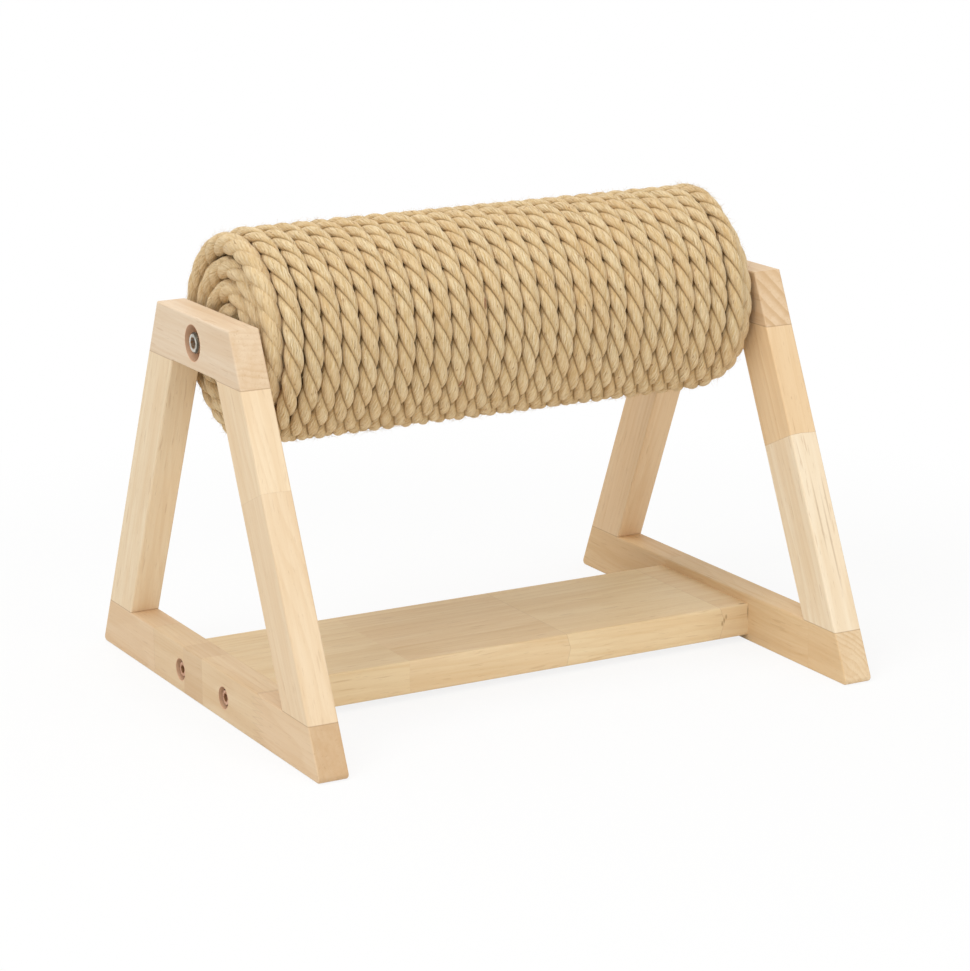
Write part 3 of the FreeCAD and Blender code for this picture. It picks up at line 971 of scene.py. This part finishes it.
# ---- drum ------------------------------------------------------------------------------------------
@dataclass(frozen=True)
class RopeRoute:
    """The line that one length of rope follows: rings on the left end disc, the shoulder, half the barrel.

    Attributes:
        rope_diameter: The rope's diameter as packed on the drum.
        rope_gap: Least gap between neighbouring turns.
        seat_gap: Gap from the rope to the core and to the end discs.
        shoulder_step: Turn spacing beside the shoulder, in rope pitches.
        jog: Side step of a turn beside the shoulder, in rope pitches.
        barrel_step: Least turn spacing along the barrel, in rope pitches.
        tuck: Share of a turn that the rope's end runs on past the hub.
        fuller: How much thicker the slacker rings on the end face are.
        flatter: How much closer their strands lie to the rope's middle.
        shoulder_hug: Power by which the last ring on the face keeps to the barrel's radius.
        face_jog: Share of the side step that is left on the end face.
        samples: Points at which the line is worked out.
    """

    rope_diameter: float = 0.0145
    rope_gap: float = 0.00045
    seat_gap: float = 0.0003
    shoulder_step: float = 1.15
    jog: float = 0.19
    barrel_step: float = 1.015
    tuck: float = 0.30
    fuller: float = 0.24
    flatter: float = 0.24
    shoulder_hug: float = 1.1
    face_jog: float = 0.3
    samples: int = 40000

    def __post_init__(self) -> None:
        """Works out the winding's places from the core, the bush and the axle."""
        low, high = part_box("core_tube")
        bush_low, bush_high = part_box("left_cap_bush")
        pitch = self.rope_diameter + self.rope_gap
        radius = self.rope_diameter / 2
        place = object.__setattr__
        place(self, "radius", radius)
        place(self, "axle_z", (low.z + high.z) / 2)
        place(self, "core_end", low.x)
        place(self, "core_radius", (high.z - low.z) / 2)
        place(self, "face_x", low.x - self.seat_gap - radius)
        place(self, "barrel_radius", self.core_radius + self.seat_gap + radius)
        place(self, "step", self.shoulder_step * pitch)
        place(self, "side_step", self.jog * pitch)
        hub = (bush_high.z - bush_low.z) / 2
        place(self, "face_turns", int((self.barrel_radius - hub - radius) / self.step))
        place(self, "barrel_turns", 1 + int((-self.face_x - self.step) / (self.barrel_step * pitch)))
        place(self, "late_step", (-self.face_x - self.step) / (self.barrel_turns - 1))

    def swing(self, turns: np.ndarray, fade: int) -> np.ndarray:
        """Returns how far the rope runs ahead of a steady advance: a swell each turn, less and less."""
        return self.side_step * (1 - turns / fade) * (1 - np.cos(2 * math.pi * turns)) / 2

    def at(self, turns: np.ndarray) -> np.ndarray:
        """Points of the rope's centreline, so many turns on: rings first, then the barrel.

        Args:
            turns: Turns from the hub.

        Returns:
            One point for each.
        """
        left = self.face_turns - turns
        on_face = left > 0
        shoulder = np.where((left > 0) & (left < 1), np.clip(left, 1e-9, 1) ** self.shoulder_hug, left)
        inward = self.step * shoulder + self.face_jog * self.swing(left, self.face_turns)
        radius = np.where(on_face, self.barrel_radius - inward, self.barrel_radius)
        along = self.step * np.minimum(-left, 1) + self.late_step * np.maximum(-left - 1, 0)
        along = along + self.swing(-left, self.barrel_turns)
        x = self.face_x + np.where(on_face, 0.0, along)
        angle = -2 * math.pi * turns
        return np.stack([x, radius * np.cos(angle), self.axle_z + radius * np.sin(angle)], axis=1)

    def outward(self, line: np.ndarray) -> np.ndarray:
        """Which way is out of the winding: away from the nearest point of the core and its end.

        Args:
            line: Points of the centreline.

        Returns:
            A unit vector for each.
        """
        spoke = self.spokes(line)
        radius = np.linalg.norm(spoke, axis=1)
        held = np.minimum(radius, self.core_radius) / radius
        nearest = spoke * held[:, None] + np.array([0.0, 0.0, self.axle_z])
        nearest[:, 0] = np.maximum(line[:, 0], self.core_end)
        return directions(line - nearest)

    def spokes(self, points: np.ndarray) -> np.ndarray:
        """Returns the way from the axis straight out to each point."""
        return (points - np.array([0.0, 0.0, self.axle_z])) * np.array([0.0, 1.0, 1.0])

    def turn_round(self, points: np.ndarray) -> None:
        """Turns points of the left length of rope half a turn about Y, into those of the right one."""
        points[:, 0] *= -1
        points[:, 2] = 2 * self.axle_z - points[:, 2]

    def line(self, step: float) -> np.ndarray:
        """The whole centreline from the end tucked in over the hub to the join at the back.

        Args:
            step: Distance from point to point.

        Returns:
            Points at even distances.
        """
        turns = np.linspace(-self.tuck, self.face_turns + self.barrel_turns, self.samples)
        points = self.at(turns)
        lengths = np.concatenate([[0.0], np.cumsum(np.linalg.norm(np.diff(points, axis=0), axis=1))])
        count = int(round(lengths[-1] / step)) + 1
        even = np.linspace(0.0, lengths[-1], count)
        return np.stack([np.interp(even, lengths, points[:, k]) for k in range(3)], axis=1)


def directions(vectors: np.ndarray) -> np.ndarray:
    """Returns each row at unit length."""
    return vectors / np.linalg.norm(vectors, axis=1)[:, None]


def square_to(vectors: np.ndarray, ahead: np.ndarray) -> np.ndarray:
    """Returns each row turned square to the direction ahead, at unit length."""
    return directions(vectors - ahead * np.sum(vectors * ahead, axis=1)[:, None])


def smooth(share: np.ndarray) -> np.ndarray:
    """Returns shares from 0 to 1 with a soft start and end."""
    return share * share * (3 - 2 * share)


def wander(distance: np.ndarray, spacing: float, draw: np.random.Generator) -> np.ndarray:
    """A smooth random swing from -1 to 1 along the rope.

    Args:
        distance: Places along the rope.
        spacing: Distance over which the swing changes.
        draw: Source of random numbers.

    Returns:
        The swing at each place.
    """
    knots = int(distance.max() / spacing) + 4
    levels = draw.uniform(-1.0, 1.0, knots)
    place = distance / spacing
    index = place.astype(int)
    share = smooth(place - index)
    return levels[index] * (1 - share) + levels[index + 1] * share


def stray(distance: np.ndarray, swings: Swings, draw: np.random.Generator) -> np.ndarray:
    """Returns several swings added up, each of so much over so great a distance."""
    return sum(size * wander(distance, spacing, draw) for size, spacing in swings)


@dataclass
class RopeStrand:
    """One of the rope's three strands over one length of rope.

    Attributes:
        side: Which length of rope.
        number: Which strand, from 0 to 2.
        lay: Length of rope in which the strand passes once round it.
        helix: Distance of the strand's middle from the rope's.
        tall: Half thickness of the strand, outwards.
        wide: Half thickness of the strand, sideways.
        lump: How far its yarns make it uneven.
        drifts: How far it strays round the rope, as sizes and the lengths over which they change.
        slacks: How far it strays from the rope's middle, in the same way.
        swells: How far its thickness varies, in the same way.
        calm_length: Distance from the join within which it is more even, so that the two ropes meet.
        lit_above: Height off the rope's middle, in rope radii, above which a point gets no painted shade.
        lit_span: Drop in height, in rope radii, that gives a point full painted shade.
        sides: Corners of its section.
        step: Distance from section to section.
        uv_apart: How far apart the three strands lie in the UV map, so that they differ.
        uv_name: Name of the UV map.
        painted_shade_name: Name of the value that says how deep a point lies between the turns, which sets
            the painted shade there.
        frayed_name: Name of the value that says how frayed the rope is.
    """

    side: Side
    number: int
    lay: float = 0.05533
    helix: float = 0.00368
    tall: float = 0.00395
    wide: float = 0.00438
    lump: float = 0.00017
    drifts: Swings = ((0.42, 0.31), (0.16, 0.07))
    slacks: Swings = ((0.035, 0.035),)
    swells: Swings = ((0.035, 0.018), (0.02, 0.006))
    calm_length: float = 0.3
    lit_above: float = 0.38
    lit_span: float = 0.95
    sides: int = 32
    step: float = 0.0025
    uv_apart: ClassVar[float] = 13.0
    uv_name: ClassVar[str] = "strand_uv"
    painted_shade_name: ClassVar[str] = "painted_shade"
    frayed_name: ClassVar[str] = "frayed"

    def frames(self, route: RopeRoute) -> Dict[str, np.ndarray]:
        """Where the strand runs and how its sections stand.

        Args:
            route: The rope's line.

        Returns:
            By name: its middle, the ways out, aside and ahead, the distance to the join, how thick it is,
            its lumps, and the rope's line with the way out of the winding.
        """
        line = route.line(self.step)
        forward = directions(np.gradient(line, axis=0))
        out = square_to(directions(route.spokes(line)), forward)
        side = np.cross(forward, out)
        to_join = np.linspace(len(line) - 1, 0, len(line)) * self.step
        calm = np.clip(to_join / self.calm_length, 0, 1)
        drift = stray(to_join, self.drifts, np.random.default_rng(71 + (self.side is Side.RIGHT))) * calm
        angle = 2 * math.pi * (to_join / self.lay + self.number / 3) + drift
        own = np.random.default_rng(80 + self.number + 5 * self.side.sign)
        slack = 1 + stray(to_join, self.slacks, own) * calm
        arm = out * np.cos(angle)[:, None] + side * np.sin(angle)[:, None]
        turned_out = route.outward(line)
        on_face = np.clip(-turned_out[:, 0] * 1.5, 0, 1)
        plump = 1 + route.fuller * on_face
        middle = line + arm * (self.helix * slack * plump * (1 - route.flatter * on_face))[:, None]
        ahead = directions(np.gradient(middle, axis=0))
        outward = square_to(arm, ahead)
        swell = plump * (1 + stray(to_join, self.swells, own) * calm)
        return {"middle": middle, "out": outward, "side": np.cross(ahead, outward), "ahead": ahead,
                "to_join": to_join, "swell": swell, "line": line, "turned_out": turned_out,
                "lumps": self.lumps(to_join, own) * calm[:, None]}

    def lumps(self, to_join: np.ndarray, own: np.random.Generator) -> np.ndarray:
        """Unevenness of the strand's section, from yarns that lie higher or lower.

        Args:
            to_join: Distance of each section to the join.
            own: Source of random numbers.

        Returns:
            How far each corner of each section stands out, in metres.
        """
        angles = 2 * math.pi * np.arange(self.sides) / self.sides
        total = np.zeros((len(to_join), self.sides))
        for waves in (2, 3, 5, 7):
            cosine = wander(to_join, 0.02 / waves + 0.004, own)
            sine = wander(to_join, 0.02 / waves + 0.004, own)
            swing = cosine[:, None] * np.cos(waves * angles) + sine[:, None] * np.sin(waves * angles)
            total += swing / waves
        return self.lump * total

    def net(self, level: np.ndarray) -> Tuple[np.ndarray, np.ndarray, np.ndarray]:
        """The faces of the closed tube that joins the sections, whose tips come last.

        Args:
            level: Place of each section along the strand.

        Returns:
            The quads, the triangles round the tips, and the UV place of each corner in turn.
        """
        ring, corner = np.meshgrid(np.arange(len(level) - 1), np.arange(self.sides), indexing="ij")
        ring = (ring[..., None] + np.array([0, 0, 1, 1])).reshape(-1, 4)
        corner = (corner[..., None] + np.array([0, 1, 1, 0])).reshape(-1, 4)
        quads = ring * self.sides + corner % self.sides
        ends = np.arange(self.sides)
        after = (ends + 1) % self.sides
        tip = np.full(self.sides, len(level) * self.sides)
        last = (len(level) - 1) * self.sides
        caps = np.concatenate([np.stack([after, ends, tip], axis=1),
                               np.stack([last + ends, last + after, tip + 1], axis=1)])
        uv = [np.stack([corner / self.sides, level[ring]], axis=-1).reshape(-1, 2)]
        cap_u = np.stack([ends, ends + 1, ends + 0.5], axis=1) / self.sides
        for end in (0, -1):
            uv.append(np.stack([cap_u, np.full(cap_u.shape, level[end])], axis=-1).reshape(-1, 2))
        return quads, caps, np.concatenate(uv)

    def build(self, route: RopeRoute, finish: bpy.types.Material) -> bpy.types.Object:
        """Makes the strand as one closed tube with its own UV map.

        Args:
            route: The rope's line.
            finish: Its material.

        Returns:
            The strand.
        """
        place = self.frames(route)
        angles = 2 * math.pi * (np.arange(self.sides) / self.sides - 0.5)
        reach_out = ((self.tall * place["swell"])[:, None] + place["lumps"]) * np.cos(angles)[None, :]
        reach_side = ((self.wide * place["swell"])[:, None] + place["lumps"]) * np.sin(angles)[None, :]
        points = (place["middle"][:, None, :] + place["out"][:, None, :] * reach_out[:, :, None]
                  + place["side"][:, None, :] * reach_side[:, :, None])
        # How deep each point lies between the turns, which the jute turns into painted shade.
        height = np.sum((points - place["line"][:, None, :]) * place["turned_out"][:, None, :], axis=2)
        painted_shade = np.clip((self.lit_above - height / route.radius) / self.lit_span, 0, 1)
        painted_shade = np.concatenate([smooth(painted_shade).ravel(), [0.0, 0.0]])
        frayed = np.repeat(np.clip(-place["turned_out"][:, 0] * 1.3 - 0.2, 0, 1), self.sides)
        frayed = np.concatenate([frayed, [1.0, 0.0]])
        tips = np.stack([place["middle"][0] - place["ahead"][0] * self.tall * 0.25,
                         place["middle"][-1] + place["ahead"][-1] * self.tall * 0.02])
        points = np.concatenate([points.reshape(-1, 3), tips])
        quads, caps, uv = self.net(-place["to_join"])
        if self.side is Side.RIGHT:
            route.turn_round(points)
            uv = np.stack([1 - uv[:, 0], -uv[:, 1]], axis=1)
        uv[:, 1] += self.uv_apart * ((-self.side.sign * self.number) % 3)
        piece = mesh_piece(f"{self.side.value}_rope_strand_{self.number + 1}", points, quads, caps)
        layer = piece.data.uv_layers.new(name=self.uv_name)
        layer.data.foreach_set("uv", uv.astype(np.float32).ravel())
        for value_name, values in ((self.painted_shade_name, painted_shade), (self.frayed_name, frayed)):
            stored = piece.data.attributes.new(name=value_name, type="FLOAT", domain="POINT")
            stored.data.foreach_set("value", values.astype(np.float32))
        piece.data.materials.append(finish)
        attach(piece, "drum")
        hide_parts(f"{self.side.value}_rope")
        log.info("%s: %.2f m of rope", piece.name, place["to_join"][0])
        return piece


def mesh_piece(name: str, points: np.ndarray, quads: np.ndarray, triangles: np.ndarray) -> bpy.types.Object:
    """Makes a smooth mesh object from points, quads and triangles.

    Args:
        name: The piece's name.
        points: One row for each vertex.
        quads: Four vertex numbers in each row.
        triangles: Three vertex numbers in each row.

    Returns:
        The object, in the scene and at the origin.
    """
    mesh = bpy.data.meshes.new(name)
    mesh.vertices.add(len(points))
    mesh.vertices.foreach_set("co", points.astype(np.float32).ravel())
    corners = np.concatenate([quads.ravel(), triangles.ravel()]).astype(np.int32)
    starts = np.concatenate([np.arange(len(quads)) * 4, quads.size + np.arange(len(triangles)) * 3])
    mesh.loops.add(len(corners))
    mesh.loops.foreach_set("vertex_index", corners)
    mesh.polygons.add(len(starts))
    mesh.polygons.foreach_set("loop_start", starts.astype(np.int32))
    mesh.polygons.foreach_set("use_smooth", np.ones(len(starts), dtype=bool))
    mesh.update(calc_edges=True)
    mesh.validate()
    piece = bpy.data.objects.new(name, mesh)
    bpy.context.scene.collection.objects.link(piece)
    return piece


@dataclass(frozen=True)
class Straw:
    """Loose jute fibres.

    Attributes:
        name: The finish's name.
        light: Colour of the paler fibres.
        dark: Colour of the deeper ones.
    """

    name: str = "loose_fibres"
    light: Colour = tone(238, 216, 170)
    dark: Colour = tone(196, 158, 102)

    def material(self) -> bpy.types.Material:
        """Builds the finish.

        Returns:
            The material.
        """
        shader = Shader(self.name)
        patch = shader.noise(shader.place, 330.0, 2.0, 0.6)
        colour = shader.blend(shader.fade(patch, 0.36, 0.64), self.light, self.dark)
        shader.settle(Base_Color=colour, Roughness=0.75, Specular_IOR_Level=0.25,
                      Normal=shader.bump((patch, 0.00002, 0.4)))
        return shader.material


@dataclass
class LooseFibres:
    """Short fibres that stand out of one length of rope.

    Attributes:
        side: Which length of rope.
        count: How many fibres.
        shortest: Length of the shortest one.
        longest: Length of the longest one.
        lift: How far the tip of one may stand off the rope.
        thickness: Thickest radius of one at its root.
        clear_x: Furthest place from the middle that a fibre reaches, beside the A-frame.
        face_share: Share of the fibres that are kept for the end face.
        end_share: Share of the fibres that hang from the rope's cut end.
        end_length: How many times longer those are.
        end_bend: Radius of the bend in which they lie round the hub.
        end_points: Points of the rope's line that the other fibres keep from its ends.
        step: Distance between the points that fibres grow from.
        clear: How far a fibre's root lies off the rope.
        most_sag: How far a fibre bends down to the rope at most.
    """

    side: Side
    count: int = 12000
    shortest: float = 0.0035
    longest: float = 0.0125
    lift: float = 0.0042
    thickness: float = 0.00011
    clear_x: float = 0.2104
    face_share: float = 0.30
    end_share: float = 0.08
    end_length: float = 2.4
    end_bend: float = 0.019
    end_points: int = 4
    step: float = 0.002
    clear: float = 0.0002
    most_sag: float = 0.0012

    def roots(self, route: RopeRoute, line: np.ndarray, draw: np.random.Generator) -> Sequence[np.ndarray]:
        """Which points of the rope's line the fibres grow from.

        Args:
            route: The line of the left length of rope.
            line: Its points.
            draw: Source of random numbers.

        Returns:
            The number of each fibre's point, and whether it hangs from the cut end.
        """
        picked = draw.integers(self.end_points, len(line) - self.end_points, self.count)
        on_face = np.nonzero(line[:, 0] < route.face_x + route.step / 2)[0][self.end_points:]
        frayed = draw.random(self.count) < self.face_share
        picked = np.where(frayed, draw.choice(on_face, self.count), picked)
        at_end = draw.random(self.count) < self.end_share
        return np.where(at_end, draw.integers(0, 6, self.count), picked), at_end

    def grow(self, route: RopeRoute, draw: np.random.Generator) -> Sequence[np.ndarray]:
        """Where the fibres run.

        Args:
            route: The line of the left length of rope.
            draw: Source of random numbers.

        Returns:
            Four points of each fibre, and the two directions square to it.
        """
        line = route.line(self.step)
        ahead = directions(np.gradient(line, axis=0))
        picked, at_end = self.roots(route, line, draw)
        forward = ahead[picked]
        out = square_to(route.outward(line)[picked], forward)
        aside = np.cross(forward, out)
        lean = draw.normal(0.0, 0.75, self.count)
        arm = out * np.cos(lean)[:, None] + aside * np.sin(lean)[:, None]
        inset = np.where(at_end, draw.uniform(0.1, 0.95, self.count), draw.uniform(0.90, 0.99, self.count))
        root = line[picked] + arm * (route.radius * inset)[:, None]
        way = forward * np.where(at_end, -1.0, draw.choice((-1.0, 1.0), self.count))[:, None]
        spread = draw.normal(0.0, 0.7, self.count) * np.where(at_end, 0.3, 1.0)
        way = directions(way + aside * spread[:, None] + arm * 0.15)
        length = draw.uniform(self.shortest, self.longest, self.count) * draw.uniform(0.5, 1.0, self.count)
        length = length * np.where(at_end, self.end_length, 1.0)
        rise = self.lift * draw.uniform(0.05, 1.0, self.count) ** 1.7 * np.where(at_end, 0.2, 1.0)
        curl = draw.normal(0.0, 0.28, self.count) * length * np.where(at_end, 0.4, 1.0)
        sway = np.cross(arm, way)
        share = np.array([0.0, 0.35, 0.7, 1.0])
        along = length[:, None] * share
        sag = np.minimum(along ** 2 / (2 * route.radius), self.most_sag)
        bend = at_end[:, None] * along ** 2 / (2 * self.end_bend)
        middle = root[:, None, :]
        for direction, reach in ((way, along), (arm, rise[:, None] * share ** 1.4 + self.clear),
                                 (sway, curl[:, None] * share ** 2), (arm, -sag),
                                 (directions(route.spokes(root)), -bend)):
            middle = middle + direction[:, None, :] * reach[:, :, None]
        return middle, arm, sway

    def build(self, route: RopeRoute, finish: bpy.types.Material) -> bpy.types.Object:
        """Makes the fibres as one piece: thin curved slivers of three sides that end in a point.

        Args:
            route: The line of the left length of rope.
            finish: Their material.

        Returns:
            The piece.
        """
        draw = np.random.default_rng(311 + (self.side is Side.RIGHT))
        middle, arm, sway = self.grow(route, draw)
        thick = self.thickness * draw.uniform(0.45, 1.0, self.count)
        taper = np.array([1.0, 0.85, 0.55])
        corner = 2 * math.pi * np.arange(3) / 3
        ring = (arm[:, None, None, :] * np.cos(corner)[None, None, :, None]
                + sway[:, None, None, :] * np.sin(corner)[None, None, :, None])
        rings = middle[:, :3, None, :] + ring * (thick[:, None] * taper)[:, :, None, None]
        points = np.concatenate([rings.reshape(self.count, 9, 3), middle[:, 3:, :]], axis=1)
        points[:, :, 0] = np.maximum(points[:, :, 0], -self.clear_x)
        points = points.reshape(-1, 3)
        base = (np.arange(self.count) * 10)[:, None]
        sides = [(k, k + 3, k + 4, k + 1) for k in (0, 1, 3, 4)] + [(k + 2, k + 5, k + 3, k) for k in (0, 3)]
        tips = ((7, 6, 9), (8, 7, 9), (6, 8, 9), (0, 1, 2))
        quads, triangles = (np.concatenate([base + np.array(face) for face in faces])
                            for faces in (sides, tips))
        if self.side is Side.RIGHT:
            route.turn_round(points)
        piece = mesh_piece(f"{self.side.value}_loose_fibres", points, quads, triangles)
        piece.data.materials.append(finish)
        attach(piece, "drum")
        log.info("%s: %d fibres", piece.name, self.count)
        return piece


@dataclass
class Drum:
    """The rope-wound drum.

    Attributes:
        route: The line of the left length of rope.
    """

    route: RopeRoute = field(default_factory=RopeRoute)

    def wind(self) -> List[bpy.types.Object]:
        """Lays both lengths of rope.

        Returns:
            The six strands and the fibres that stand out of them.
        """
        finish = Jute().material()
        straw = Straw().material()
        pieces = [RopeStrand(side, number).build(self.route, finish) for side in Side for number in range(3)]
        return pieces + [LooseFibres(side).build(self.route, straw) for side in Side]

    def dress(self) -> None:
        """Gives the core and the end discs their finishes."""
        card = Board("wound_card", tone(176, 142, 100), tone(150, 118, 80), 700.0, 0.85, 0.0001)
        disc = Board("pressed_board", tone(196, 166, 124), tone(160, 128, 88), 1100.0, 0.8, 0.00008)
        dress_node("core_tube", card.material())
        disc_finish = disc.material()
        for side in Side:
            dress_node(f"{side.value}_end_disc", disc_finish)


# ---- studio ----------------------------------------------------------------------------------------
@dataclass
class Lamp:
    """One soft light.

    Attributes:
        name: Its name.
        place: Where it stands.
        size: Its width and height.
        power: Watts.
    """

    name: str
    place: Triple
    size: float
    power: float

    def light(self, target: Triple) -> None:
        """Sets the lamp up and points it.

        Args:
            target: The point that it faces.
        """
        data = bpy.data.lights.new(self.name, "AREA")
        data.shape = "SQUARE"
        data.size = self.size
        data.energy = self.power
        lamp = bpy.data.objects.new(self.name, data)
        lamp.location = self.place
        lamp.rotation_euler = (Vector(target) - Vector(self.place)).to_track_quat("-Z", "Y").to_euler()
        bpy.context.scene.collection.objects.link(lamp)


@dataclass
class Studio:
    """Floor, lamps and camera.

    Attributes:
        camera_place: Where the camera stands.
        azimuth: Degrees round the object from the front.
        elevation: Degrees above the horizon.
        roll: Degrees that the camera leans.
        lens: Focal length in millimetres.
        sensor: Width of the camera's picture in millimetres.
        target: The point that the lamps face.
        world_level: Strength of the light from all round.
        floor_size: Width of the floor.
        lamps: The soft lights.
    """

    camera_place: Triple = (-1.1290, -2.0963, 0.7523)
    azimuth: float = -28.456
    elevation: float = 14.383
    roll: float = -0.5
    lens: float = 117.482
    sensor: float = 36.0
    target: Triple = (0.0, 0.0, 0.18)
    world_level: float = 0.66
    floor_size: float = 60.0
    lamps: Tuple[Lamp, ...] = (
        Lamp("key_lamp", (0.6, -2.8, 0.8), 1.5, 16.0),
        Lamp("high_lamp", (-1.6, -0.6, 2.1), 1.4, 18.5),
        Lamp("top_lamp", (-0.25, 0.0, 2.4), 0.7, 13.0),
        Lamp("far_lamp", (2.0, 1.6, 1.6), 1.4, 1.8),
    )

    def camera(self) -> None:
        """Sets up the camera at the photograph's angle."""
        azimuth, elevation, roll = (math.radians(a) for a in (self.azimuth, self.elevation, self.roll))
        back = Vector((math.sin(azimuth) * math.cos(elevation), -math.cos(azimuth) * math.cos(elevation),
                       math.sin(elevation)))
        level = Vector((0.0, 0.0, 1.0)).cross(back).normalized()
        up = back.cross(level)
        right = level * math.cos(roll) + up * math.sin(roll)
        turn = Matrix((right, back.cross(right), back)).transposed()
        data = bpy.data.cameras.new("camera")
        data.lens = self.lens
        data.sensor_width = self.sensor
        data.clip_end = 100.0
        camera = bpy.data.objects.new("camera", data)
        camera.location = self.camera_place
        camera.rotation_euler = turn.to_euler()
        bpy.context.scene.collection.objects.link(camera)
        bpy.context.scene.camera = camera

    def floor(self) -> None:
        """Lays the floor."""
        bpy.ops.object.select_all(action="DESELECT")
        bpy.ops.mesh.primitive_plane_add(size=self.floor_size, location=(0.0, 0.0, 0.0))
        floor = bpy.context.object
        floor.name = "studio_floor"
        floor.data.materials.append(Floor().material())

    def world(self) -> None:
        """Lights the scene softly from all round, white where the camera sees past the floor."""
        world = bpy.data.worlds.new("studio_world")
        bpy.context.scene.world = world
        world.use_nodes = True
        nodes = Nodes(world.node_tree)
        nodes.tree.nodes.clear()
        soft = nodes.node("Background", WHITE, self.world_level).outputs[0]
        white = nodes.node("Background", WHITE).outputs[0]
        mix = nodes.node("MixShader", nodes.seen(), soft, white)
        nodes.node("OutputWorld", mix.outputs[0])

    def set_up(self) -> None:
        """Builds the whole studio."""
        self.camera()
        self.floor()
        self.world()
        for lamp in self.lamps:
            lamp.light(self.target)
        bpy.context.scene.view_settings.view_transform = "Standard"


def main() -> None:
    """Builds and dresses the roller, then the studio round it."""
    logging.basicConfig(level=logging.INFO, format="%(name)s %(message)s")
    Stand().dress()
    drum = Drum()
    drum.dress()
    drum.wind()
    Studio().set_up()


if __name__ == "__main__":
    main()
